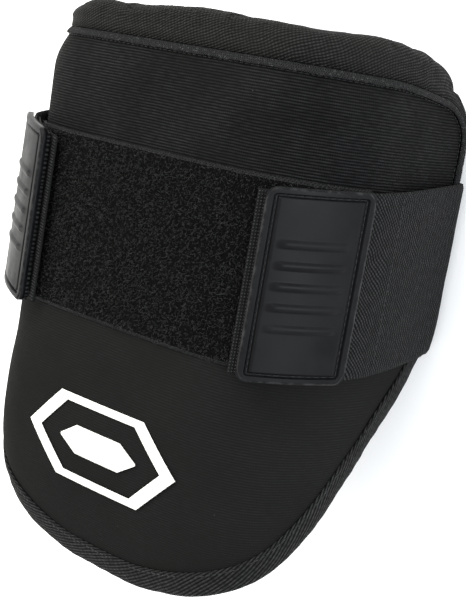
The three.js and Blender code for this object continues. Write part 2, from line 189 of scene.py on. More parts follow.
def wobble(a, b, length, seed):
    """Smooth unevenness from about -1 to 1, with bumps about this length apart."""
    chosen = np.random.default_rng(seed)
    total = 0
    for _ in range(6):
        turn, start = chosen.uniform(0, 2 * math.pi, 2)
        frequency = 2 * math.pi / (length * chosen.uniform(0.7, 1.5))
        total = total + np.sin(frequency * (a * math.cos(turn) + b * math.sin(turn)) + start)
    return total / 3


# %% Wrap the flat layout
section_steps = 288
section_turn = np.radians(smooth_table(turn_table)(np.linspace(0, 1, section_steps + 1)))
middle_turn = (section_turn[1:] + section_turn[:-1]) / 2
step_length = half_width / section_steps
section_x = np.concatenate(([0], np.cumsum(step_length * np.cos(middle_turn))))
section_z = -np.concatenate(([0], np.cumsum(step_length * np.sin(middle_turn))))
lower_share = smooth_table(lower_table)


def section_at(s):
    """Place and facing of the cross section, straight on past the side edge."""
    out = np.abs(s)
    side = np.where(s < 0, -1.0, 1.0)
    at = np.linspace(0, half_width, section_steps + 1)
    past = np.maximum(out - half_width, 0)
    turn = np.interp(out, at, section_turn)
    x = np.interp(out, at, section_x) + past * math.cos(section_turn[-1])
    z = np.interp(out, at, section_z) - past * math.sin(section_turn[-1])
    return side * x, z, side * turn


def top_edge(s):
    out = np.abs(s)
    fall = np.maximum(out - droop_start, 0) / (half_width - droop_start)
    into = np.clip(out - (half_width - corner_radius), 0, corner_radius)
    corner = corner_radius - np.sqrt(corner_radius ** 2 - into ** 2)
    return seam_droop * fall ** droop_power + corner


def lower_edge(s):
    return face_length * lower_share(np.abs(s) / half_width)


def face_lift(s, t):
    """The face tucks in at the top seam and the lower edge, and swells beside the elbow."""
    tuck = seam_tuck * np.clip(1 - t / seam_tuck_reach, 0, 1) ** 2
    swell_along = np.maximum(1 - ((t - swell_down) / swell_reach) ** 2, 0) ** 2
    swell = swell_along * ease(np.abs(s) / half_width, swell_from, swell_full)
    low = np.clip(1 - (lower_edge(s) - t) / edge_tuck_reach, 0, 1) ** 2
    return swell_height * swell - tuck - edge_tuck * low


def place(s, t, h):
    s, t, h = np.broadcast_arrays(*(np.asarray(value, float) for value in (s, t, h)))
    x, z, turn = section_at(s)
    height = h + face_lift(s, t)
    curl = np.maximum(t - bend_start, 0) / bend_radius
    out = z + height * np.cos(turn)
    down = np.minimum(t, bend_start) + bend_radius * np.sin(curl)
    drop = bend_radius * (1 - np.cos(curl))
    y = -down - out * np.sin(curl)
    wrapped = np.stack((x + height * np.sin(turn), y, -drop + out * np.cos(curl)), -1)
    return (wrapped + seam_middle) * millimetre


print("Middle of the seam at", place(0, 0, 0).round(4), "and lower tip at",
      place(0, face_length, 0).round(4))

# %% [markdown]
# ## The rim
#
# The roll, the welt and the binding all follow the cut edge of the face. The rim is that
# edge as one closed line of even steps. A place on it has a distance round the rim, n, how
# far it lies outside the edge, and h, the height off the face.

# %% The rim as a line
side_points = 80
corner_points = 24
top_points = 260
low_points = 320

side_s = np.full(side_points, half_width)
side_t = np.linspace(lower_edge(half_width), top_edge(half_width), side_points)
flat_reach = half_width - corner_radius
corner_s = flat_reach + corner_radius * np.sin(np.linspace(0.05, math.pi / 2, corner_points))
flat_s = np.linspace(-flat_reach, flat_reach, top_points)
across = np.concatenate((-corner_s[::-1], flat_s, corner_s))
low_s = np.linspace(half_width, -half_width, low_points)
rim_s = np.concatenate((-side_s, across, side_s, low_s))
rim_t = np.concatenate((side_t, top_edge(across), side_t[::-1], lower_edge(low_s)))
step = np.hypot(np.diff(rim_s, append=rim_s[0]), np.diff(rim_t, append=rim_t[0]))
keep = step > 1e-6
rim_s, rim_t, step = rim_s[keep], rim_t[keep], step[keep]
rim_at = np.concatenate(([0], np.cumsum(step)))
rim_length = rim_at[-1]
even = np.arange(0, rim_length, 1.0)
even_s = np.interp(even, rim_at, np.append(rim_s, rim_s[0]))
even_t = np.interp(even, rim_at, np.append(rim_t, rim_t[0]))


def soften_round(values, reach):
    """Averages a closed line of values over eight steps either way, the nearest ones most."""
    steps = np.arange(-8, 9)
    weights = np.exp(-0.5 * (steps / reach) ** 2)
    weights /= weights.sum()
    return sum(weight * np.roll(values, k) for weight, k in zip(weights, steps))


line_softness = 1.2
facing_softness = 2.0
soft_s = soften_round(even_s, line_softness)
soft_t = soften_round(even_t, line_softness)
along_s = np.roll(soft_s, -1) - np.roll(soft_s, 1)
along_t = np.roll(soft_t, -1) - np.roll(soft_t, 1)
size = np.hypot(along_s, along_t)
out_s = soften_round(along_t / size, facing_softness)
out_t = soften_round(-along_s / size, facing_softness)


def round_rim(values, distance):
    closed = np.append(values, values[0])
    return np.interp(np.mod(distance, rim_length), np.append(even, rim_length), closed)


def on_rim(distance, n, h):
    s = round_rim(soft_s, distance) + n * round_rim(out_s, distance)
    t = round_rim(soft_t, distance) + n * round_rim(out_t, distance)
    return place(s, t, h)


roll_end_down = 66.0
roll_start = lower_edge(half_width) - roll_end_down
past_roll = (even_s > half_width - 1) & (even_t >= roll_end_down)
roll_end = even[np.flatnonzero(past_roll)[0]]
print("Rim length:", round(rim_length, 1), "mm; the roll covers", round(roll_end - roll_start, 1))

# %% [markdown]
# ## Making a piece
#
# Most pieces are cloth, so they start as bmesh's grid, whose corners are then moved to
# their places on the guard. The flat place of each corner becomes the UV, in millimetres, so
# a weave in a material keeps its real size and follows the cloth. Extruding the whole grid
# gives the cloth its thickness, and closes it at the same time.


# %% Cloth from a grid
def lay_grid(places):
    """A grid of faces, with each corner at its place; places is columns by rows."""
    columns, rows = places.shape[:2]
    cloth = bmesh.new()
    column = cloth.verts.layers.int.new("column")
    row = cloth.verts.layers.int.new("row")
    bmesh.ops.create_grid(cloth, x_segments=columns - 1, y_segments=rows - 1, size=0.5)
    for corner in cloth.verts:
        corner[column] = round((corner.co.x + 0.5) * (columns - 1))
        corner[row] = round((corner.co.y + 0.5) * (rows - 1))
        corner.co = places[corner[column], corner[row]]
    return cloth


def write_uv(cloth, flat):
    """Keeps the flat place of every corner, in millimetres, as the UV."""
    column = cloth.verts.layers.int["column"]
    row = cloth.verts.layers.int["row"]
    layer = cloth.loops.layers.uv.new("cloth")
    for face in cloth.faces:
        face.smooth = True
        for loop in face.loops:
            loop[layer].uv = flat[loop.vert[column], loop.vert[row]]


def layered_cloth(front, behind, flat):
    """A closed layer of cloth between a table of front places and one of places behind."""
    cloth = lay_grid(front)
    column = cloth.verts.layers.int["column"]
    row = cloth.verts.layers.int["row"]
    made = bmesh.ops.extrude_face_region(cloth, geom=cloth.faces[:], use_keep_orig=True)
    for corner in made["geom"]:
        if isinstance(corner, bmesh.types.BMVert):
            corner.co = behind[corner[column], corner[row]]
    write_uv(cloth, flat)
    return cloth


def tube_of_cloth(places, flat):
    """A tube, whose last row is laid on its first one. Both ends are closed."""
    cloth = lay_grid(np.concatenate((places[:, :-1], places[:, :1]), axis=1))
    write_uv(cloth, flat)
    bmesh.ops.remove_doubles(cloth, verts=cloth.verts[:], dist=1e-7)
    open_edges = [edge for edge in cloth.edges if edge.is_boundary]
    bmesh.ops.holes_fill(cloth, edges=open_edges, sides=0)
    return cloth


def keep_values(cloth, name, values):
    """Keeps one value for each corner of the grid, for a material to read."""
    column = cloth.verts.layers.int["column"]
    row = cloth.verts.layers.int["row"]
    layer = cloth.verts.layers.float.new(name)
    for corner in cloth.verts:
        corner[layer] = values[corner[column], corner[row]]


def show_piece(name, cloth, material, slot, *nodes):
    """Turns a bmesh into a piece that rides on the guard and stands for its CAD nodes."""
    bmesh.ops.recalc_face_normals(cloth, faces=cloth.faces[:])
    mesh = bpy.data.meshes.new(name)
    cloth.to_mesh(mesh)
    cloth.free()
    mesh.materials.append(material)
    piece = bpy.data.objects.new(name, mesh)
    scene.collection.objects.link(piece)
    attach(piece, "root")
    if nodes:
        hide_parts(*nodes)
    print(name, "has", len(mesh.polygons), "faces")
    return piece


def repeat_shape(name, small, frames, material):
    """One mesh with a copy of a small shape at each frame, a table of 4 by 4 matrices."""
    small.verts.index_update()
    corners = np.array([corner.co[:] + (1.0,) for corner in small.verts])
    faces = np.array([[corner.index for corner in face.verts] for face in small.faces])
    small.free()
    moved = np.einsum("nij,kj->nki", np.asarray(frames), corners)[..., :3].reshape(-1, 3)
    first = np.arange(len(frames))[:, None, None] * len(corners)
    every_face = (faces[None] + first).reshape(-1, faces.shape[1])
    mesh = bpy.data.meshes.new(name)
    mesh.from_pydata(moved.tolist(), [], every_face.tolist())
    mesh.shade_smooth()
    mesh.materials.append(material)
    piece = bpy.data.objects.new(name, mesh)
    scene.collection.objects.link(piece)
    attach(piece, "root")
    print(name, "has", len(frames), "copies and", len(mesh.polygons), "faces")


# %% [markdown]
# ## Effects for the materials
#
# Several finishes need the same effect, such as knitted ribs or a slanted weave. Each effect
# is a node group with named inputs and outputs, so it can be reused with another size. The
# weaves read the UV, which is in millimetres, and the lint and the pile read the place on the
# object. All of them give heights and masks only.


# %% Helpers for nodes
def connect(tree, value, socket):
    """Links an output to a socket, or writes a plain value on it."""
    if isinstance(value, bpy.types.NodeSocket):
        tree.links.new(value, socket)
    else:
        socket.default_value = value


def maths(tree, operation, *values):
    node = tree.nodes.new("ShaderNodeMath")
    node.operation = operation
    for value, socket in zip(values, node.inputs):
        connect(tree, value, socket)
    return node.outputs[0]


def wave(tree, place_along, pitch):
    """Even ribs from 0 to 1, one for each pitch."""
    turn = maths(tree, "DIVIDE", maths(tree, "MULTIPLY", place_along, 2 * math.pi), pitch)
    return maths(tree, "MULTIPLY_ADD", maths(tree, "COSINE", turn), 0.5, 0.5)


def noise(tree, vector, scale, detail=2.0, roughness=0.5):
    node = tree.nodes.new("ShaderNodeTexNoise")
    connect(tree, vector, node.inputs["Vector"])
    connect(tree, scale, node.inputs["Scale"])
    node.inputs["Detail"].default_value = detail
    node.inputs["Roughness"].default_value = roughness
    return node.outputs["Fac"]


def ramp(tree, value, low, high, from_value=0.0, to_value=1.0):
    """Stretches values between low and high, smoothly and with a limit at both ends."""
    node = tree.nodes.new("ShaderNodeMapRange")
    node.interpolation_type = "SMOOTHSTEP"
    for socket, number in zip(node.inputs, (value, low, high, from_value, to_value)):
        connect(tree, number, socket)
    return node.outputs[0]


def new_effect(name, inputs, outputs):
    tree = bpy.data.node_groups.new(name, "ShaderNodeTree")
    for label, value in inputs.items():
        kind = "NodeSocketVector" if value is None else "NodeSocketFloat"
        socket = tree.interface.new_socket(label, in_out="INPUT", socket_type=kind)
        if value is not None:
            socket.default_value = value
    for label in outputs:
        tree.interface.new_socket(label, in_out="OUTPUT", socket_type="NodeSocketFloat")
    given = tree.nodes.new("NodeGroupInput").outputs
    result = tree.nodes.new("NodeGroupOutput").inputs
    return tree, given, result


def split(tree, vector):
    node = tree.nodes.new("ShaderNodeSeparateXYZ")
    connect(tree, vector, node.inputs[0])
    return node.outputs[0], node.outputs[1]


# %% Knitted ribs
knit_ribs, given, result = new_effect(
    "Knit ribs",
    {"Cloth": None, "Pitch": 1.0, "Wale": 0.8, "Wander": 0.5, "Turn": 0.0, "Loops": 0.3},
    ("Height", "Strength"))
turned = knit_ribs.nodes.new("ShaderNodeVectorRotate")
turned.rotation_type = "Z_AXIS"
connect(knit_ribs, given["Cloth"], turned.inputs["Vector"])
connect(knit_ribs, given["Turn"], turned.inputs["Angle"])
x, y = split(knit_ribs, turned.outputs[0])
drift = maths(knit_ribs, "SUBTRACT", noise(knit_ribs, given["Cloth"], 0.06), 0.5)
y_drift = maths(knit_ribs, "MULTIPLY_ADD", drift, given["Wander"], y)
rows_of_knit = wave(knit_ribs, y_drift, given["Pitch"])
wales = wave(knit_ribs, x, given["Wale"])
between_loops = maths(knit_ribs, "SUBTRACT", 1.0, given["Loops"])
loops = maths(knit_ribs, "MULTIPLY_ADD", wales, given["Loops"], between_loops)
stretched = knit_ribs.nodes.new("ShaderNodeCombineXYZ")
connect(knit_ribs, maths(knit_ribs, "MULTIPLY", x, 0.22), stretched.inputs[0])
connect(knit_ribs, y, stretched.inputs[1])
streaks = ramp(knit_ribs, noise(knit_ribs, stretched.outputs[0], 1.3, 2.0), 0.3, 0.7, 0.45, 1.0)
uneven_loops = maths(knit_ribs, "MULTIPLY", loops, streaks)
connect(knit_ribs, maths(knit_ribs, "MULTIPLY", rows_of_knit, uneven_loops), result["Height"])
patchy = ramp(knit_ribs, noise(knit_ribs, given["Cloth"], 0.035, 3.0), 0.3, 0.7, 0.45, 1.0)
connect(knit_ribs, patchy, result["Strength"])

# %% Slanted weave
slanted_weave, given, result = new_effect(
    "Slanted weave", {"Cloth": None, "Pitch": 1.1, "Lean": 0.9, "Narrow": 1.0}, ("Height",))
x, y = split(slanted_weave, given["Cloth"])
lean = maths(slanted_weave, "MULTIPLY", y, given["Lean"])
one_way = wave(slanted_weave, maths(slanted_weave, "ADD", x, lean), given["Pitch"])
other_way = wave(slanted_weave, maths(slanted_weave, "SUBTRACT", x, lean), given["Pitch"])
one_thread = maths(slanted_weave, "POWER", one_way, given["Narrow"])
other_thread = maths(slanted_weave, "POWER", other_way, given["Narrow"])
lower_thread = maths(slanted_weave, "MULTIPLY", other_thread, 0.75)
connect(slanted_weave, maths(slanted_weave, "MAXIMUM", one_thread, lower_thread), result["Height"])

# %% Lint and dust
lint, given, result = new_effect("Lint", {"Place": None, "Amount": 0.5}, ("Specks", "Dust"))
cells = lint.nodes.new("ShaderNodeTexVoronoi")
cells.inputs["Scale"].default_value = 260.0
connect(lint, given["Place"], cells.inputs["Vector"])
dot = ramp(lint, cells.outputs["Distance"], 0.02, 0.07, 1.0, 0.0)
lucky = ramp(lint, split(lint, cells.outputs["Color"])[0], 0.86, 1.0)
speck = maths(lint, "MULTIPLY", maths(lint, "MULTIPLY", dot, lucky), given["Amount"])
connect(lint, speck, result["Specks"])
connect(lint, ramp(lint, noise(lint, given["Place"], 26.0, 4.0), 0.35, 0.75), result["Dust"])

# %% Pile of loops
pile, given, result = new_effect("Pile of loops", {"Place": None, "Size": 1.0}, ("Height", "Tips"))
scale = maths(pile, "DIVIDE", 2200.0, given["Size"])
coarse = noise(pile, given["Place"], maths(pile, "MULTIPLY", scale, 0.35), 3.0)
fine = noise(pile, given["Place"], scale, 4.0, 0.7)
connect(pile, maths(pile, "MULTIPLY_ADD", coarse, 0.6, fine), result["Height"])
connect(pile, ramp(pile, fine, 0.55, 0.72), result["Tips"])
print("Effects:", [group.name for group in bpy.data.node_groups])

# %% [markdown]
# ## Materials
#
# All but the printed ink is black, so the eye tells the pieces apart by how they shine and by
# their weave. Most materials mix two near blacks, one for the hollows and one for the raised
# threads, and send their own weave to the bump, and some to the roughness too.


# %% Material helpers
def new_material(name, roughness, sheen=0.0, specular=0.5):
    """A material with a Principled shader; uniform values go on the shader's own sockets."""
    material = bpy.data.materials.new(name)
    material.use_nodes = True
    tree = material.node_tree
    shader = tree.nodes["Principled BSDF"]
    shader.inputs["Roughness"].default_value = roughness
    shader.inputs["Sheen Weight"].default_value = sheen
    shader.inputs["Specular IOR Level"].default_value = specular
    return material, tree, shader


def cloth_place(tree):
    node = tree.nodes.new("ShaderNodeUVMap")
    node.uv_map = "cloth"
    return node.outputs[0]


def object_place(tree):
    return tree.nodes.new("ShaderNodeTexCoord").outputs["Object"]


def effect(tree, group, **values):
    node = tree.nodes.new("ShaderNodeGroup")
    node.node_tree = group
    for label, value in values.items():
        connect(tree, value, node.inputs[label])
    return node.outputs


def mix_colours(tree, share, first, second):
    node = tree.nodes.new("ShaderNodeMix")
    node.data_type = "RGBA"
    connect(tree, share, node.inputs[0])
    connect(tree, first if isinstance(first, bpy.types.NodeSocket) else (*first, 1), node.inputs[6])
    connect(tree, second if isinstance(second, bpy.types.NodeSocket) else (*second, 1), node.inputs[7])
    return node.outputs[2]


def add_bump(tree, shader, height, distance, strength=1.0):
    """Raises the finish by this distance, in metres, where the height is 1."""
    node = tree.nodes.new("ShaderNodeBump")
    node.inputs["Distance"].default_value = distance
    connect(tree, strength, node.inputs["Strength"])
    connect(tree, height, node.inputs["Height"])
    tree.links.new(node.outputs[0], shader.inputs["Normal"])


# %% Neoprene with a knitted face
neoprene, tree, shader = new_material("neoprene", 0.75, specular=0.04)
cloth = cloth_place(tree)
spot = object_place(tree)
ribs = effect(tree, knit_ribs, Cloth=cloth)
dust = effect(tree, lint, Place=spot, Amount=0.35)
down = split(tree, cloth)[1]
above_strap = ramp(tree, down, 34.0, 60.0, 1.0, 0.35)
rib_strength = maths(tree, "MULTIPLY", ribs["Strength"], above_strap)
raised = maths(tree, "MULTIPLY", ribs["Height"], rib_strength)
hollow = mix_colours(tree, above_strap, (0.0082, 0.0082, 0.0078), (0.0014, 0.0014, 0.0015))
tone = mix_colours(tree, raised, hollow, (0.0222, 0.0225, 0.0229))
tone = mix_colours(tree, maths(tree, "MULTIPLY", dust["Dust"], 0.2), tone, (0.009, 0.009, 0.008))
connect(tree, mix_colours(tree, dust["Specks"], tone, (0.1, 0.1, 0.095)), shader.inputs["Base Color"])
connect(tree, ramp(tree, raised, 0.0, 1.0, 0.85, 0.6), shader.inputs["Roughness"])
add_bump(tree, shader, raised, 0.0003)

# %% Knit of the stuffed roll
roll_knit, tree, shader = new_material("roll_knit", 0.65, specular=0.05)
cloth = cloth_place(tree)
ribs = effect(tree, knit_ribs, Cloth=cloth, Pitch=1.0, Wale=1.35, Wander=3.0, Turn=-0.4, Loops=0.65)
dust = effect(tree, lint, Place=object_place(tree), Amount=0.4)
tone = mix_colours(tree, ribs["Height"], (0.0012, 0.0012, 0.0011), (0.033, 0.0331, 0.032))
tone = mix_colours(tree, maths(tree, "MULTIPLY", dust["Dust"], 0.3), tone, (0.012, 0.0117, 0.0106))
connect(tree, mix_colours(tree, dust["Specks"], tone, (0.11, 0.11, 0.1)), shader.inputs["Base Color"])
connect(tree, ramp(tree, ribs["Height"], 0.0, 1.0, 0.72, 0.52), shader.inputs["Roughness"])
add_bump(tree, shader, ribs["Height"], 0.0003, 0.9)

# %% Welt tape
welt_tape, tree, shader = new_material("welt_tape", 0.75, specular=0.05)
cloth = cloth_place(tree)
weave = effect(tree, slanted_weave, Cloth=cloth, Pitch=0.9, Lean=0.8, Narrow=1.2)
fuzz = effect(tree, pile, Place=object_place(tree), Size=1.9)
tone = mix_colours(tree, weave["Height"], (0.006, 0.006, 0.0061), (0.024, 0.0243, 0.0247))
tone = mix_colours(tree, maths(tree, "MULTIPLY", fuzz["Tips"], 0.9), tone, (0.1, 0.101, 0.102))
connect(tree, tone, shader.inputs["Base Color"])
add_bump(tree, shader, maths(tree, "ADD", weave["Height"], fuzz["Height"]), 0.0006, 1.0)

# %% Twill binding
twill_tape, tree, shader = new_material("twill_tape", 0.65, specular=0.05)
cloth = cloth_place(tree)
ribs = effect(tree, knit_ribs, Cloth=cloth, Pitch=1.25, Wale=2.4, Wander=1.0, Turn=-0.38, Loops=0.35)
dust = effect(tree, lint, Place=object_place(tree), Amount=0.3)
raised = ribs["Height"]
tone = mix_colours(tree, raised, (0.001, 0.001, 0.001), (0.032, 0.0322, 0.0324))
connect(tree, mix_colours(tree, dust["Specks"], tone, (0.14, 0.14, 0.13)), shader.inputs["Base Color"])
connect(tree, ramp(tree, raised, 0.0, 1.0, 0.75, 0.5), shader.inputs["Roughness"])
add_bump(tree, shader, raised, 0.0003, 1.0)

# %% Loop pile
loop_pile, tree, shader = new_material("loop_pile", 0.9, specular=0.05)
tufts = effect(tree, pile, Place=object_place(tree), Size=1.0)
tone = mix_colours(tree, tufts["Tips"], (0.001, 0.001, 0.001), (0.011, 0.0112, 0.0115))
connect(tree, tone, shader.inputs["Base Color"])
add_bump(tree, shader, tufts["Height"], 0.0006, 1.0)

loop_fibre, tree, shader = new_material("loop_fibre", 0.5, specular=0.18)
spot = object_place(tree)
tone = mix_colours(tree, ramp(tree, noise(tree, spot, 900.0), 0.35, 0.7),
                   (0.0014, 0.0014, 0.0015), (0.0165, 0.0168, 0.0172))
connect(tree, tone, shader.inputs["Base Color"])

# %% Woven edge of the loop panel
woven_edge, tree, shader = new_material("woven_edge", 0.75, specular=0.08)
cloth = cloth_place(tree)
weave = effect(tree, slanted_weave, Cloth=cloth, Pitch=1.3, Lean=1.0, Narrow=1.6)
tone = mix_colours(tree, weave["Height"], (0.002, 0.002, 0.0021), (0.0145, 0.0147, 0.015))
connect(tree, tone, shader.inputs["Base Color"])
add_bump(tree, shader, weave["Height"], 0.00015, 0.8)

# %% Hook fastener
hook_plastic, tree, shader = new_material("hook_plastic", 0.45, specular=0.2)
spot = object_place(tree)
shade = ramp(tree, noise(tree, spot, 700.0), 0.3, 0.7)
connect(tree, mix_colours(tree, shade, (0.014, 0.0142, 0.0145), (0.032, 0.0325, 0.033)),
        shader.inputs["Base Color"])
add_bump(tree, shader, noise(tree, spot, 2500.0), 0.00005, 0.5)

hook_weave, tree, shader = new_material("hook_weave", 0.8, specular=0.08)
weave = effect(tree, slanted_weave, Cloth=cloth_place(tree), Pitch=0.8, Lean=1.0)
tone = mix_colours(tree, weave["Height"], (0.002, 0.002, 0.0021), (0.011, 0.0112, 0.0114))
connect(tree, tone, shader.inputs["Base Color"])
add_bump(tree, shader, weave["Height"], 0.0002, 0.8)

# %% Elastic webbing
elastic, tree, shader = new_material("elastic_webbing", 0.7, specular=0.05)
cloth = cloth_place(tree)
weave = effect(tree, knit_ribs, Cloth=cloth, Pitch=1.0, Wale=1.3, Wander=4.0, Turn=2.25, Loops=0.6)
dust = effect(tree, lint, Place=object_place(tree), Amount=0.5)
fuzz = effect(tree, pile, Place=object_place(tree), Size=1.5)
loose_thread = maths(tree, "MULTIPLY", fuzz["Tips"], 0.35)
raised = maths(tree, "MULTIPLY_ADD", weave["Height"], 0.85, loose_thread)
tone = mix_colours(tree, raised, (0.001, 0.001, 0.001), (0.0445, 0.0455, 0.047))
connect(tree, mix_colours(tree, dust["Specks"], tone, (0.11, 0.11, 0.105)), shader.inputs["Base Color"])
connect(tree, ramp(tree, raised, 0.0, 1.0, 0.8, 0.55), shader.inputs["Roughness"])
add_bump(tree, shader, raised, 0.00045, 1.0)

# %% Moulded rubber
rubber, tree, shader = new_material("moulded_rubber", 0.42, specular=0.08)
spot = object_place(tree)
dust = effect(tree, lint, Place=spot, Amount=0.25)
handled = ramp(tree, noise(tree, spot, 60.0, 4.0, 0.6), 0.3, 0.75)
tone = mix_colours(tree, handled, (0.0034, 0.0035, 0.0039), (0.0066, 0.0068, 0.0075))
worn = tree.nodes.new("ShaderNodeAttribute")
worn.attribute_name = "edge"
scuff = maths(tree, "MULTIPLY", worn.outputs["Fac"], ramp(tree, noise(tree, spot, 420.0, 3.0), 0.4, 0.7))
tone = mix_colours(tree, scuff, tone, (0.022, 0.0224, 0.0228))
connect(tree, mix_colours(tree, dust["Specks"], tone, (0.12, 0.12, 0.12)), shader.inputs["Base Color"])
connect(tree, ramp(tree, handled, 0.0, 1.0, 0.36, 0.52), shader.inputs["Roughness"])
add_bump(tree, shader, noise(tree, spot, 3200.0, 2.0), 0.00003, 0.6)

# %% White ink
ink, tree, shader = new_material("white_ink", 0.45, specular=0.4)
cloth = cloth_place(tree)
spot = object_place(tree)
ribs = effect(tree, knit_ribs, Cloth=cloth)
stain = ramp(tree, noise(tree, spot, 120.0, 4.0), 0.4, 0.8)
tone = mix_colours(tree, stain, (0.78, 0.785, 0.73), (0.68, 0.685, 0.63))
crazed = ramp(tree, noise(tree, spot, 1500.0, 3.0, 0.7), 0.66, 0.72)
connect(tree, mix_colours(tree, crazed, tone, (0.42, 0.42, 0.41)), shader.inputs["Base Color"])
add_bump(tree, shader, ribs["Height"], 0.0001, 0.35)

# %% Sewing thread and lining
thread, tree, shader = new_material("thread", 0.5, sheen=0.03, specular=0.2)
spot = object_place(tree)
tone = mix_colours(tree, ramp(tree, noise(tree, spot, 1800.0), 0.35, 0.65),
                   (0.004, 0.004, 0.0042), (0.017, 0.0172, 0.0175))
connect(tree, tone, shader.inputs["Base Color"])

lining, tree, shader = new_material("lining", 0.85, sheen=0.06, specular=0.1)
cloth = cloth_place(tree)
ribs = effect(tree, knit_ribs, Cloth=cloth, Pitch=1.6, Wale=1.2)
fuzz = effect(tree, pile, Place=object_place(tree), Size=1.5)
tone = mix_colours(tree, ribs["Height"], (0.006, 0.006, 0.0062), (0.02, 0.0203, 0.0206))
connect(tree, tone, shader.inputs["Base Color"])
add_bump(tree, shader, maths(tree, "ADD", ribs["Height"], fuzz["Height"]), 0.00025, 0.7)
print("Materials:", len(bpy.data.materials))

# %% [markdown]
# ## The padded shell
#
# The shell is a sheet of neoprene foam with knitted fabric on its face. It is about 5 mm
# thick, wraps the arm, and sits slightly full between its seams. Small puckers run away
# from the top seam, where the thread draws the cloth in.


# %% Stations on the face
flat_share = 0.9
row_crowding = 0.048
relief_limit = 0.22
pucker_height = 0.22
pucker_reach = 7.0


def face_columns(count):
    """Even columns, with closer ones where the upper corners turn."""
    share = np.linspace(-1, 1, count)
    out = np.abs(share)
    flat = np.minimum(out / flat_share, 1) * (half_width - corner_radius)
    turn = np.maximum(out - flat_share, 0) / (1 - flat_share) * math.pi / 2
    return np.sign(share) * (flat + corner_radius * np.sin(turn))


def face_net(columns, rows):
    """Places over the whole face, with closer rows at the seam and at the lower edge."""
    s = np.repeat(face_columns(columns)[:, None], rows, 1)
    share = np.linspace(0, 1, rows)[None]
    share = share - row_crowding * np.sin(2 * math.pi * share)
    t = top_edge(s) + share * (lower_edge(s) - top_edge(s))
    return s, t


def edge_distance(s, t):
    """Distance from each place to the rim, across the cloth."""
    near = np.full(s.shape, np.inf)
    for rim_place_s, rim_place_t in zip(soft_s[::3], soft_t[::3]):
        near = np.minimum(near, np.hypot(s - rim_place_s, t - rim_place_t))
    return near


def cloth_relief(s, t):
    """Puckers at the seam and gentle unevenness, in millimetres."""
    near_seam = np.exp(-np.maximum(t - top_edge(s), 0) / pucker_reach)
    pucker = pucker_height * wobble(s, t * 0.2, 9, 11) * near_seam
    uneven = 0.3 * wobble(s, t, 48, 12) + 0.1 * wobble(s, t * 1.6, 17, 13)
    calm = ease(edge_distance(s, t), 2, 18)
    return relief_limit * np.tanh((pucker + uneven * calm) / relief_limit)


# %% Padded shell
s, t = face_net(columns=241, rows=171)
relief = cloth_relief(s, t)
cloth = layered_cloth(place(s, t, relief), place(s, t, -shell_thickness), np.stack((s, t), -1))
face_shell = show_piece("face_padding", cloth, neoprene, "neoprene", "face_shell")

# %% [markdown]
# ## The foam liner
#
# The inside of the guard is a thicker foam pad behind a brushed lining. It is pressed thin
# towards the binding and full in the middle. It shows only from behind, through the arm
# opening.

# %% Foam liner
liner_flat_rim = 9.1
liner_rise = 26.0
s, t = face_net(columns=161, rows=121)
feather = np.clip((edge_distance(s, t) - liner_flat_rim) / liner_rise, 0, 1)
depth = blend(liner_edge, liner_thickness, feather)
outer = -shell_thickness - gap
depth = depth + 0.25 * wobble(s, t, 30, 21) * feather
cloth = layered_cloth(place(s, t, outer), place(s, t, outer - depth), np.stack((s, t), -1))
liner = show_piece("foam_liner", cloth, lining, "foam_lining", "liner_pad")

# %% [markdown]
# ## The stuffed roll
#
# A tube of knitted fabric is stuffed and sewn behind the top seam. It rounds the upper
# edge, so it is what touches the arm. The filling is uneven and the thread pulls the cloth
# in, which gives the lumpy outline. The tube is laid out in its rough form, thinner at its
# left end and fuller at its right corner, and then a cloth simulation blows it up a little.

# %% Stuffed roll
roll_projection = 12.0
roll_side_projection = 5.0
roll_height = 15.0
roll_side_height = 10.0
roll_around = 40
roll_set_back = 0.8
roll_top_set_back = 1.4
left_thinning = 2.5
right_filling = 1.0
right_corner = roll_start + 336.0
corner_filling = 3.6
lump_height = 0.55
roll_pucker_height = 0.06
seam_clearance = 0.05
roll_roundness = 0.64
back_flatness = 0.94

along = np.linspace(roll_start, roll_end, 380)[:, None]
roll_s = round_rim(soft_s, along)
to_top = 1 - ease(np.abs(roll_s) / half_width, 0.8, 1.0)
centre = -edge_depth / 2 - (roll_set_back + roll_top_set_back * to_top)
reach = roll_side_projection + (roll_projection - roll_side_projection) * to_top
left_end = ease(-roll_s, 30, 64) * to_top
right_end = ease(roll_s, 60, 110)
reach = reach - left_thinning * left_end + right_filling * right_end * to_top
before_corner = ease(along, right_corner - 16, right_corner)
past_corner = ease(along, right_corner, right_corner + 14)
reach = reach + corner_filling * (before_corner * (1 - past_corner))
half = (roll_side_height + (roll_height - roll_side_height) * to_top) / 2
angle = np.linspace(-math.pi, math.pi, roll_around + 1)[None]
lumps = lump_height * wobble(along, 0 * along, 52, 32)
puckers = roll_pucker_height * wobble(along, 6 * np.sin(angle) + 6 * np.cos(angle), 13, 31)
bulging = np.maximum(np.cos(angle), 0)
rounded = bulging ** roll_roundness
n = seam_clearance + (reach + lumps * to_top + puckers) * rounded
h = centre - half * np.sin(angle) * np.where(bulging > 0, 1.0, back_flatness)
step_round = np.hypot(np.diff(n, axis=1), np.diff(h, axis=1))
round_tube = np.concatenate((np.zeros((len(along), 1)), np.cumsum(step_round, axis=1)), 1)
flat = np.stack(np.broadcast_arrays(along, round_tube - round_tube[:, roll_around // 2, None]), -1)
cloth = tube_of_cloth(on_rim(along, n, h), flat)
top_roll = show_piece("stuffed_roll", cloth, roll_knit, "roll_knit", "top_roll")


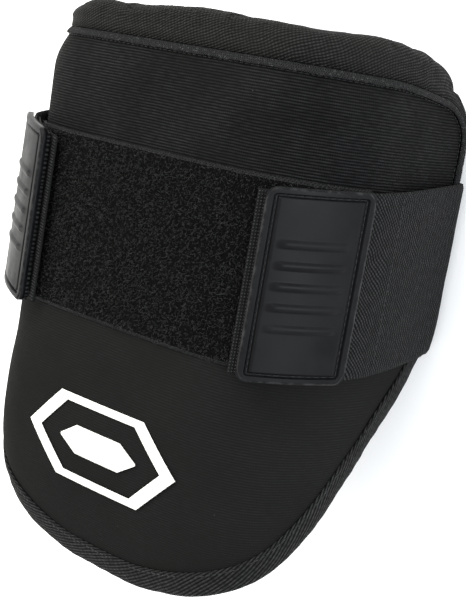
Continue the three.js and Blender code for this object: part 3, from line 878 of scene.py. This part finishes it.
def fill_out(piece, sewn, pressure, spare_cloth, cap, frames=20):
    """Swells a stuffed piece with the cloth simulation, and keeps each point within the cap."""
    mesh = piece.data
    before = np.empty(len(mesh.vertices) * 3)
    mesh.vertices.foreach_get("co", before)
    group = piece.vertex_groups.new(name="sewn")
    group.add(sewn, 1.0, "REPLACE")
    swelling = piece.modifiers.new("filling", "CLOTH")
    settings = swelling.settings
    settings.quality = 5
    settings.mass = 0.1
    settings.tension_stiffness = 20
    settings.compression_stiffness = 20
    settings.shear_stiffness = 8
    settings.bending_stiffness = 0.3
    settings.use_pressure = True
    settings.uniform_pressure_force = pressure
    settings.shrink_min = -spare_cloth
    settings.vertex_group_mass = "sewn"
    settings.effector_weights.gravity = 0
    swelling.collision_settings.use_collision = False
    for frame_number in range(1, frames + 1):
        scene.frame_set(frame_number)
    swollen = piece.evaluated_get(bpy.context.evaluated_depsgraph_get()).to_mesh()
    after = np.empty(len(before))
    swollen.vertices.foreach_get("co", after)
    piece.modifiers.remove(swelling)
    scene.frame_set(1)
    move = (after - before).reshape(-1, 3)
    far = np.linalg.norm(move, axis=1, keepdims=True)
    move = move * np.minimum(1, cap / np.maximum(far, 1e-9))
    mesh.vertices.foreach_set("co", (before.reshape(-1, 3) + move).ravel())
    mesh.update()
    print(piece.name, "swelled by", round(float(far.mean()) * 1000, 2), "mm on average, and by",
          round(float(far.max()) * 1000, 2), "mm at most")


# %% Fill the roll
free_rows = range(12, 29)
wrap = top_roll.data.attributes["row"].data
sewn = [i for i, kept in enumerate(wrap) if kept.value not in free_rows]
fill_out(top_roll, sewn, pressure=4.0, spare_cloth=0.02, cap=0.0009)

# %% [markdown]
# ## The welt and its seam
#
# A narrow tape with a cord in it covers the seam between the face and the roll. It stands
# up as a small round ridge, and a row of stitches runs along its lower side.

# %% Welt
welt_width = 2.8
welt_height = 1.3
angle = np.linspace(-math.pi, math.pi, 17)[None]
along = np.linspace(roll_start, roll_end, 520)[:, None]
plump = 1 + 0.06 * wobble(along, 0 * along, 6, 41) + 0.07 * wobble(along, 2 * np.sin(angle), 2.2, 42)
n = -welt_width / 2 + welt_width / 2 * plump * np.cos(angle)
h = gap + welt_height / 2 + (welt_height / 2 + 0.1) * plump * np.sin(angle)
flat = np.stack(np.broadcast_arrays(along, angle), -1)
cloth = tube_of_cloth(on_rim(along, n, h), flat)
show_piece("seam_welt", cloth, welt_tape, "welt_tape", "top_welt")


# %% Stitches
def stitch_shape():
    """One stitch, a millimetre long: a slim ball that sinks into the cloth at both ends."""
    small = bmesh.new()
    bmesh.ops.create_uvsphere(small, u_segments=6, v_segments=5, radius=0.5)
    bmesh.ops.triangulate(small, faces=small.faces[:])
    return small


def stitch_frames(starts, ends, outward, thickness):
    """Frames that lay one stitch from each start to its end. All in metres."""
    frames = []
    for start, end, out in zip(starts, ends, outward):
        length = end - start
        x_axis = length / np.linalg.norm(length)
        y_axis = np.cross(out, x_axis)
        y_axis /= np.linalg.norm(y_axis)
        z_axis = np.cross(x_axis, y_axis)
        frame = np.eye(4)
        frame[:3, 0] = y_axis * thickness
        frame[:3, 1] = z_axis * thickness * 0.8
        frame[:3, 2] = length
        frame[:3, 3] = (start + end) / 2
        frames.append(frame)
    return np.array(frames)


def sew(name, along, pitch, where, thickness=0.00045, fill=0.78):
    """A row of stitches. where(distance, rise) gives a place, rise being off the cloth."""
    starts = np.arange(along[0], along[1] - pitch, pitch)
    first = where(starts, 0.0)
    last = where(starts + pitch * fill, 0.0)
    outward = where(starts, 1.0) - first
    frames = stitch_frames(first, last, outward, thickness)
    repeat_shape(name, stitch_shape(), frames, thread)


sew("seam_stitches", (roll_start + 1, roll_end - 1), 2.3,
    lambda d, rise: on_rim(d, -welt_width - 0.3, 0.18 + rise), thickness=0.00034)

# %% [markdown]
# ## The binding
#
# The lower edge is bound with a twill tape, folded over the cut edge and sewn through on
# both sides at once. The fold is rounded, and the tape's own edge leaves a small step and
# a line of stitches on the face.

# %% Binding
tape_thickness = 1.2
tape_leg = 10.0
tape_gap = 0.6
tape_press = 0.3
tape_nose_radius = 1.6


def tape_profile():
    """Places (n, h) along the outside of the folded tape and back inside, and 1 where outside."""
    front = tape_gap
    back_side = -edge_depth - tape_gap
    middle = (front + back_side) / 2
    half = (front - back_side) / 2
    turn = np.radians(np.linspace(90, -90, 15))
    nose_n = tape_gap - tape_nose_radius + (tape_nose_radius + tape_thickness) * np.cos(turn)
    nose_h = middle + (half + tape_thickness) * np.sin(turn)
    leg = np.array((-tape_leg, -tape_leg + 0.25, -tape_leg + 1.4, -6.0, -3.0))
    leg_h = np.array((-tape_press, 0.35, 0.5, 1.0, tape_thickness))
    outside_n = np.concatenate((leg, nose_n, leg[::-1]))
    behind_h = back_side - np.maximum(leg_h, 0.15)
    outside_h = np.concatenate((front + leg_h, nose_h, behind_h[::-1]))
    inside_n = np.array((-tape_leg, -6.0, -1.0, 0.0, 0.0, -1.0, -6.0, -tape_leg))
    inside_h = np.array((back_side, back_side, back_side, back_side + 1.4,
                         front - 1.4, front, front, front - tape_press - 0.05))
    n = np.concatenate((outside_n, inside_n, outside_n[:1]))
    h = np.concatenate((outside_h, inside_h, outside_h[:1]))
    return n, h, np.concatenate((np.ones(len(outside_n)), np.zeros(len(inside_n)), (1,)))


tape_n, tape_h, tape_outside = tape_profile()
tape_start = roll_end + gap
tape_end = rim_length + roll_start - gap
along = np.linspace(tape_start, tape_end, 520)[:, None]
ripple = 0.1 * wobble(along, 2 * tape_n[None], 7, 51) + 0.12 * wobble(along, 0 * along, 26, 52)
ripple = ripple * ease(tape_n[None] + tape_leg, 0.2, 2.0)
around = np.concatenate(([0], np.cumsum(np.hypot(np.diff(tape_n), np.diff(tape_h)))))
flat = np.stack(np.broadcast_arrays(along, around[None]), -1)
cloth = tube_of_cloth(on_rim(along, tape_n[None], tape_h[None] + ripple * tape_outside), flat)
show_piece("edge_binding", cloth, twill_tape, "twill_tape", "edge_tape")
sew("binding_stitches", (tape_start + 1, tape_end - 1), 2.6,
    lambda d, rise: on_rim(d, 1.4 - tape_leg, tape_gap + 0.45 + rise))

# %% [markdown]
# ## The loop panel
#
# The soft half of the fastener is sewn flat on the front. Its edge is a flat woven strip,
# and inside it stands a dense pile of tiny loops. A dense grid carries the uneven pile, and
# thousands of small arched fibres stand out of it, as they do on a used fastener.

# %% Loop panel
panel_left = -81.0
panel_right = 90.0
panel_top = 37.0
panel_height = 65.0
panel_thickness = 1.4
panel_edge = 1.2


def pile_stands(s, t):
    """Distance in from the panel's edge, and a share from 0 there to 1 on the pile."""
    inside = np.minimum(np.minimum(s - panel_left, panel_right - s),
                        np.minimum(t - panel_top, panel_top + panel_height - t))
    return inside, ease(inside, panel_edge - 0.4, panel_edge + 1.0)


s = np.linspace(panel_left, panel_right, 260)[:, None]
t = np.linspace(panel_top, panel_top + panel_height, 110)[None]
s, t = np.broadcast_arrays(s, t)
inside, standing = pile_stands(s, t)
tufted = 0.1 * wobble(s, t, 2.2, 61) + 0.08 * wobble(s, t, 1.6, 62) + 0.14 * wobble(s, t, 16, 63)
top = gap + 0.75 + standing * (panel_thickness - 0.45 + tufted) - 0.35 * ease(0.6 - inside, 0, 0.6)
cloth = layered_cloth(place(s, t, top), place(s, t, gap), np.stack((s, t), -1))
loop_panel = show_piece("loop_fabric", cloth, loop_pile, "loop_pile", "loop_panel")
loop_panel.data.materials.append(woven_edge)
uv = loop_panel.data.uv_layers["cloth"].data
for face in loop_panel.data.polygons:
    face_s, face_t = np.mean([uv[i].uv for i in face.loop_indices], axis=0)
    reach_in = min(face_s - panel_left, panel_right - face_s, face_t - panel_top,
                   panel_top + panel_height - face_t)
    face.material_index = int(reach_in < panel_edge)


# %% Fibres of the pile
def fibre_shape():
    """A small arched ribbon: a grid of four by one faces, bent into a loop."""
    small = bmesh.new()
    bmesh.ops.create_grid(small, x_segments=4, y_segments=1, size=0.5)
    for corner in small.verts:
        corner.co.z = 1 - (2 * corner.co.x) ** 2
    return small


chosen = np.random.default_rng(65)
fibre_count = 16000
fibre_s = chosen.uniform(panel_left + 0.15, panel_right - 0.15, fibre_count)
fibre_t = chosen.uniform(panel_top + 0.15, panel_top + panel_height - 0.15, fibre_count)
foot_height = gap + 0.7 + 0.95 * pile_stands(fibre_s, fibre_t)[1]
foot = place(fibre_s, fibre_t, foot_height)
upward = place(fibre_s, fibre_t, foot_height + 1.0) - foot
sideways = place(fibre_s + 0.5, fibre_t, foot_height) - foot
sideways /= np.linalg.norm(sideways, axis=1)[:, None]
upward /= np.linalg.norm(upward, axis=1)[:, None]
third = np.cross(upward, sideways)
turn = chosen.uniform(0, 2 * math.pi, fibre_count)[:, None]
lean = chosen.normal(0, 0.45, (fibre_count, 2))
along_fibre = sideways * np.cos(turn) + third * np.sin(turn)
across_fibre = np.cross(upward, along_fibre)
leaning = upward + along_fibre * lean[:, :1] + across_fibre * lean[:, 1:]
frames = np.zeros((fibre_count, 4, 4))
frames[:, :3, 0] = along_fibre * chosen.uniform(0.0006, 0.0013, fibre_count)[:, None]
frames[:, :3, 1] = across_fibre * 0.00013
frames[:, :3, 2] = leaning * chosen.uniform(0.00035, 0.0009, fibre_count)[:, None]
frames[:, :3, 3] = foot
frames[:, 3, 3] = 1
repeat_shape("loop_fibres", fibre_shape(), frames, loop_fibre)

# %% Stitches of the panel
stitch_height = gap + 0.75
for name, line_t in (("upper", panel_top + 1.1), ("lower", panel_top + panel_height - 1.1)):
    sew(f"panel_stitches_{name}", (panel_left + 1, panel_right - 1), 2.2,
        lambda d, rise, line=line_t: place(d, line, stitch_height + rise))
for name, line_s in (("left", panel_left + 1.1), ("right", panel_right - 1.1)):
    sew(f"panel_stitches_{name}", (panel_top + 1, panel_top + panel_height - 1), 2.2,
        lambda d, rise, line=line_s: place(line, d, stitch_height + rise))

# %% [markdown]
# ## Strap, hook pads and tabs
#
# The strap starts under one tab, runs out over the face, turns behind the side edge, and
# crosses the open back to the other side. Both sides share the same few sizes: where the
# tab starts, how high the strap lies there, and how much it climbs on its way out.

# %% Sizes of the strap
strap_width = 63.5
strap_thickness = 1.5
strap_edge_lift = 2.4
strap_turn_radius = 9.0
strap_turn_inset = 3.0
strap_end_inset = 1.0
tab_width = 31.0
tab_thickness = 2.4
tab_overlap = 0.7
tab_corner = 3.2
tab_stand_off = 1.5
hook_thickness = 1.0
hook_base = 2 * gap + panel_thickness
strap_base = hook_base + hook_thickness + gap
tab_base = strap_base + strap_thickness + gap
tab_length = strap_width + 2 * tab_overlap

strap_sides = (
    {"name": "right", "way": 1, "inner": 55.6, "top": 40.4, "rise": 0.096},
    {"name": "left", "way": -1, "inner": 43.0, "top": 39.2, "rise": 0.133},
)


def strap_top(side, out):
    return side["top"] - side["rise"] * (out - side["inner"])


def stand_off(side, out):
    """A stiff tab is flatter than the face, so its two long edges stand off."""
    return tab_stand_off * ((out - side["inner"] - tab_width / 2) / (tab_width / 2)) ** 2


# %% Strap along the face and round the side
def strap_on_face(side, row, raised):
    tab_end = side["inner"] + tab_width
    last = half_width - strap_turn_inset
    out = np.linspace(side["inner"] + strap_end_inset, last, 70)[:, None]
    under_tab = strap_base + stand_off(side, np.minimum(out, tab_end))
    lift = blend(under_tab, strap_edge_lift, np.maximum(out - tab_end, 0) / (last - tab_end))
    return place(side["way"] * out, strap_top(side, out) + row, lift + raised)


def strap_round_edge(side, row, raised):
    start = half_width - strap_turn_inset
    edge_x, edge_z, edge_turn = (float(value) for value in section_at(np.array(start)))
    t = strap_top(side, start) + row
    turn = np.linspace(edge_turn, math.pi, 22)[1:, None]
    hub = strap_edge_lift + face_lift(start, t) - strap_turn_radius
    radius = strap_turn_radius + raised
    x = side["way"] * (edge_x + hub * math.sin(edge_turn) + radius * np.sin(turn))
    z = edge_z + hub * math.cos(edge_turn) + radius * np.cos(turn)
    y = np.broadcast_to(-t, x.shape)
    return (np.stack((x, y, z), -1) + seam_middle) * millimetre


def strap_layer(row, raised):
    """All places along the strap, from under the right tab to under the left one."""
    ends = []
    for side in strap_sides:
        on_face = strap_on_face(side, row, raised)
        round_edge = strap_round_edge(side, row, raised)
        ends.append(np.concatenate((on_face, round_edge)))
    share = np.linspace(0, 1, 60)[1:-1, None, None]
    span = ends[0][-1] * (1 - share) + ends[1][-1] * share
    return np.concatenate((ends[0], span, ends[1][::-1]))


# %% Strap
row = np.linspace(0, strap_width, 45)[None]
middle = strap_layer(np.array([[strap_width / 2]]), 0.0)[:, 0]
strap_at = np.concatenate(([0], np.cumsum(np.linalg.norm(np.diff(middle, axis=0), axis=1)))) * 1000
strap_length = strap_at[-1]
selvedge = np.minimum(row, strap_width - row)
rounded = 0.5 * (1 - ease(selvedge, 0, 0.9))
hem = 0.15 * np.exp(-((selvedge - 2.2) / 0.5) ** 2)
uneven = 0.1 * np.minimum(wobble(strap_at[:, None], row, 19, 71), 0)
outer_rise = strap_thickness - rounded - hem
front = strap_layer(row, 0.0)
outward = strap_layer(row, 1.0) - front
front_places = front + outward * (outer_rise + uneven)[..., None]
behind_places = front + outward * rounded[..., None]
flat = np.stack(np.broadcast_arrays(strap_at[:, None], row), -1)
cloth = layered_cloth(front_places, behind_places, flat)
show_piece("elastic_strap", cloth, elastic, "elastic_webbing", "strap")
print("The strap is", round(strap_length), "mm long")


# %% Stitches across the strap
sewn_down = 48.0
for name, distance in (("right", sewn_down), ("left", strap_length - sewn_down)):
    nearest = int(np.abs(strap_at - distance).argmin())

    def across_line(d, rise, station=nearest):
        line = strap_layer(np.asarray(d, float)[None], strap_thickness - 0.05 + rise)
        return line[station]

    sew(f"strap_stitches_{name}", (2.0, strap_width - 2.0), 2.4, across_line)

# %% [markdown]
# The hook pad is sewn under the tab and looks out past its inner edge by a few
# millimetres. There its small plastic hooks stand in straight rows.

# %% Hook pads
hook_show = 3.1
hook_inset = 0.8
hook_lines = (0.5, 1.35, 2.2)
hooks_in_line = 56


def hook_places(side, out, row_share, raised):
    length = strap_width - 2 * hook_inset
    t = strap_top(side, out) + hook_inset + row_share * length
    return place(side["way"] * out, t, hook_base + stand_off(side, out) + raised)


for side in strap_sides:
    out = np.linspace(side["inner"] - hook_show, side["inner"] + tab_width - 3, 30)[:, None]
    share = np.linspace(0, 1, 40)[None]
    flat = np.stack(np.broadcast_arrays(out, share * strap_width), -1)
    cloth = layered_cloth(hook_places(side, out, share, 0.8), hook_places(side, out, share, 0.0), flat)
    show_piece(f"hook_base_{side['name']}", cloth, hook_weave, "hook_fastener",
               f"hook_pad_{side['name']}")
    hook = bmesh.new()
    bmesh.ops.create_cone(hook, cap_ends=True, segments=8, radius1=0.26, radius2=0.2, depth=1)
    bmesh.ops.triangulate(hook, faces=hook.faces[:])
    frames = []
    for line in hook_lines:
        for share in np.linspace(0.012, 0.988, hooks_in_line):
            at = side["inner"] - hook_show + line
            low = hook_places(side, at, share, 0.75)
            high = hook_places(side, at, share, 1.15)
            rising = high - low
            along_pad = hook_places(side, at, share + 0.01, 0.75) - low
            along_pad /= np.linalg.norm(along_pad)
            frame_of_hook = np.eye(4)
            across_pad = np.cross(rising / np.linalg.norm(rising), along_pad)
            frame_of_hook[:3, 0] = along_pad * millimetre
            frame_of_hook[:3, 1] = across_pad * millimetre
            frame_of_hook[:3, 2] = rising
            frame_of_hook[:3, 3] = (low + high) / 2
            frames.append(frame_of_hook)
    repeat_shape(f"hooks_{side['name']}", hook, frames, hook_plastic)

# %% [markdown]
# The tabs are moulded rubber. A rounded rim frames a narrow sewn groove, and inside it lies
# a plate with grip ribs. A dense grid takes the relief, and the relief is one height at
# each place, worked out from the distance to the tab's edge.

# %% Tab relief
rim_width = 2.2
groove_width = 1.1
groove_depth = 1.2
plate_drop = 0.3
rib_count = 5
rib_pitch = 7.0
rib_width = 2.6
rib_height = 0.8
rib_end_gap = 2.4


def rounded_distance(a, b, width, length, corner):
    """Distance in from the edge of a plate with rounded corners."""
    from_a = np.minimum(a, width - a)
    from_b = np.minimum(b, length - b)
    in_corner = (from_a < corner) & (from_b < corner)
    corner_distance = corner - np.hypot(corner - from_a, corner - from_b)
    return np.where(in_corner, corner_distance, np.minimum(from_a, from_b))


def tab_relief(a, b):
    edge = rounded_distance(a, b, tab_width, tab_length, tab_corner)
    crown = 0.55 * (1 - ease(edge, 0, 0.9)) ** 1.5
    plate_start = rim_width + groove_width
    plate = ease(edge, plate_start - 0.2, plate_start + 0.15)
    groove = ease(edge, rim_width - 0.15, rim_width + 0.2) - plate
    height = tab_thickness - crown - groove_depth * groove - plate_drop * plate
    from_end = edge - plate_start - rib_end_gap
    for i in range(rib_count):
        middle = tab_length / 2 + (i - (rib_count - 1) / 2) * rib_pitch
        shape = np.maximum(1 - ((b - middle) / (rib_width / 2)) ** 2, 0)
        height = height + rib_height * np.sqrt(shape) * ease(from_end, 0, 1.2)
    return height, edge


def tab_places(side, a, b, raised):
    from_side = np.minimum(a, tab_width - a)
    near = np.maximum(tab_corner - from_side, 0)
    trim = tab_corner - np.sqrt(np.maximum(tab_corner ** 2 - near ** 2, 0))
    fit = trim + b * (tab_length - 2 * trim) / tab_length
    out = side["inner"] + a
    t = strap_top(side, out) - tab_overlap + fit
    return place(side["way"] * out, t, tab_base + stand_off(side, out) + raised)


def tab_lines(length, middle_step):
    """Close lines over the rim and the groove, and even ones over the plate."""
    rim = (np.linspace(0, 0.9, 7), np.linspace(1.2, 1.9, 3), np.linspace(2.02, 3.2, 12))
    edge = np.concatenate(rim)
    count = int(round((length - 7) / middle_step))
    return np.concatenate((edge, np.linspace(3.5, length - 3.5, count), length - edge[::-1]))


# %% Moulded tabs
for side in strap_sides:
    a = tab_lines(tab_width, 0.9)[:, None]
    b = tab_lines(tab_length, 0.32)[None]
    a, b = np.broadcast_arrays(a, b)
    height, edge = tab_relief(a, b)
    front = tab_places(side, a, b, height)
    behind = tab_places(side, a, b, 0.0)
    cloth = layered_cloth(front, behind, np.stack((a, b), -1))
    keep_values(cloth, "edge", np.exp(-((edge - 0.5) / 0.35) ** 2))
    show_piece(f"rubber_tab_{side['name']}", cloth, rubber, "moulded_rubber", f"tab_{side['name']}")

# %% Stitches in the groove of each tab
groove_stitch = 2.3
groove_stitch_height = 1.35
near = rim_width + groove_width / 2
far_a = tab_width - near
far_b = tab_length - near
corners = ((near, near), (far_a, near), (far_a, far_b), (near, far_b), (near, near))
for side in strap_sides:
    starts = []
    ends = []
    outward = []
    for (a0, b0), (a1, b1) in zip(corners, corners[1:]):
        length = math.hypot(a1 - a0, b1 - b0)
        count = int(length / groove_stitch)
        for k in range(count):
            first = (k + 0.1) / count
            last = (k + 0.85) / count
            a, b = a0 + (a1 - a0) * first, b0 + (b1 - b0) * first
            end_a, end_b = a0 + (a1 - a0) * last, b0 + (b1 - b0) * last
            start = tab_places(side, a, b, groove_stitch_height)
            above = tab_places(side, a, b, groove_stitch_height + 1)
            starts.append(start)
            ends.append(tab_places(side, end_a, end_b, groove_stitch_height))
            outward.append(above - start)
    frames = stitch_frames(starts, ends, outward, 0.0005)
    repeat_shape(f"tab_stitches_{side['name']}", stitch_shape(), frames, thread)

# %% [markdown]
# ## The printed mark
#
# A screen printed mark sits on the lower face. This one is a plain long frame with a bar in
# it. The ink is a thin film that follows the cloth, so it is laid out on the same layout.

# %% Printed mark
print_down = 147.0
print_half_width = 38.0
print_half_height = 16.5
print_shoulder = 0.56
print_line = 3.0
core_half_width = 20.0
core_half_height = 5.5
print_thickness = 0.4
bar_columns = 90
bar_rows = 24


def mark_outline(share):
    """Once round a long hexagon, as shares of its half sizes, from share 0 to 1."""
    corners = np.array(((1, 0), (print_shoulder, 1), (-print_shoulder, 1), (-1, 0),
                        (-print_shoulder, -1), (print_shoulder, -1), (1, 0)))
    at = np.linspace(0, 1, 7)
    return np.interp(share, at, corners[:, 0]), np.interp(share, at, corners[:, 1])


def squarer(value):
    """Fills out a sine or a cosine, which turns a round section into one with round corners."""
    return np.sign(value) * np.abs(value) ** 0.35


share = np.linspace(0, 1, 241)[:, None]
mark_s, mark_t = mark_outline(share)
angle = np.linspace(-math.pi, math.pi, 17)[None]
inner_scale = 1 - print_line / print_half_height
scale = (1 + inner_scale) / 2 + (1 - inner_scale) / 2 * squarer(np.cos(angle))
rough_edge = 1 + 0.0015 * wobble(share * 240, angle * 0, 3, 81)
ink_h = gap + print_thickness / 2 + print_thickness / 2 * squarer(np.sin(angle))
s = mark_s * scale * print_half_width * rough_edge
t = print_down + mark_t * scale * print_half_height * rough_edge
cloth = lay_grid(place(s, t, np.broadcast_to(ink_h, s.shape)))
write_uv(cloth, np.stack((s, t), -1))
bmesh.ops.remove_doubles(cloth, verts=cloth.verts[:], dist=1e-6)
show_piece("ink_frame", cloth, ink, "white_ink", "print_frame")

across = np.linspace(-0.97, 0.97, bar_columns)[:, None]
half = np.minimum((1 - np.abs(across)) / (1 - print_shoulder), 1) * core_half_height
down = np.linspace(-1, 1, bar_rows)[None]
s = np.broadcast_to(across * core_half_width, (bar_columns, bar_rows))
t = print_down + down * half * (1 + 0.01 * wobble(across * 90, 0 * across, 3, 82))
flat = np.stack((s, t), -1)
cloth = layered_cloth(place(s, t, gap + print_thickness), place(s, t, gap), flat)
show_piece("ink_bar", cloth, ink, "white_ink", "print_bar")

# %% [markdown]
# ## Light and floor
#
# The photograph has an even white surround and soft light from above. A large pale floor,
# a bright sky and three wide lamps give that: one over the roll, one on the right that is
# slightly blue, and a warm one on the left.

# %% Floor
floor_material, tree, shader = new_material("floor", 0.9, specular=0.1)
floor_grain = noise(tree, object_place(tree), 30.0)
connect(tree, mix_colours(tree, floor_grain, (0.95, 0.95, 0.95), (0.97, 0.97, 0.97)),
        shader.inputs["Base Color"])
ground = bmesh.new()
bmesh.ops.create_grid(ground, x_segments=1, y_segments=1, size=3)
floor_mesh = bpy.data.meshes.new("floor")
ground.to_mesh(floor_mesh)
ground.free()
floor_mesh.materials.append(floor_material)
floor = bpy.data.objects.new("floor", floor_mesh)
scene.collection.objects.link(floor)


# %% Lamps and sky
def lamp(name, position, size, power, colour):
    data = bpy.data.lights.new(name, "AREA")
    data.shape = "DISK"
    data.size = size
    data.energy = power
    data.color = colour
    light = bpy.data.objects.new(name, data)
    light.location = position
    towards = look_at - light.location
    light.rotation_euler = towards.to_track_quat("-Z", "Y").to_euler()
    scene.collection.objects.link(light)


lamp("over_roll", Vector((-0.15, 0.75, 0.75)), 0.5, 8.0, (1.0, 0.985, 0.95))
lamp("right_side", Vector((0.9, 0.1, 0.6)), 0.6, 7.5, (0.88, 0.94, 1.0))
lamp("left_side", Vector((-0.8, -0.1, 0.6)), 0.6, 5.0, (1.0, 0.975, 0.89))

sky = bpy.data.worlds.new("studio")
sky.use_nodes = True
sky_shader = sky.node_tree.nodes["Background"]
sky_shader.inputs["Color"].default_value = (1.0, 1.0, 1.0, 1.0)
sky_shader.inputs["Strength"].default_value = 1.28
scene.world = sky
scene.view_settings.view_transform = "Standard"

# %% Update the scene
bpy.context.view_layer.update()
